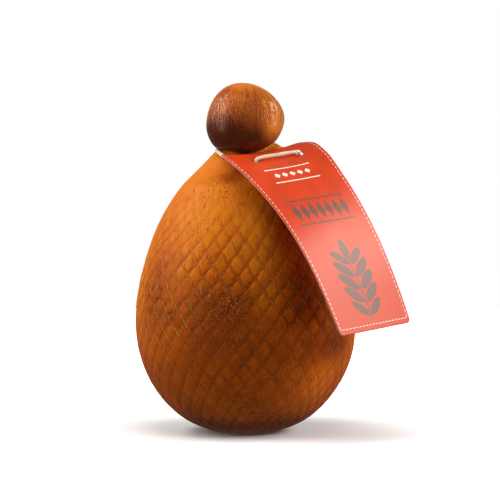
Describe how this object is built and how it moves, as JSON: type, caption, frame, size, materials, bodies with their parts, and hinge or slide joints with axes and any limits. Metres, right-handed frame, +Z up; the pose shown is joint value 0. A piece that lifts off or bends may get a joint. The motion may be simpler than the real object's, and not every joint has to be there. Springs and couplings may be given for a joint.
{
  "type": "caciocavallo",
  "caption": "Whole smoked caciocavallo: a pear-shaped cheese with net marks and a round head, twine tied in its neck and a bent card tag on the twine.",
  "frame": {"origin": "centre of the flat foot, on the cheese's axis, at the level it stands on", "axes": "+Z up along the cheese's axis, the front is -Y and the tag hangs towards +X"},
  "size_m": [0.1837, 0.1864, 0.239],
  "materials": {
    "cheese": "smoked rind, amber to brown, waxy satin with net marks",
    "twine": "twisted natural twine",
    "tag": "red printed card with a satin laminate"
  },
  "bodies": {
    "root": {"cheese": "cheese", "twine": "twine", "tag": "tag"}
  },
  "joints": []
}
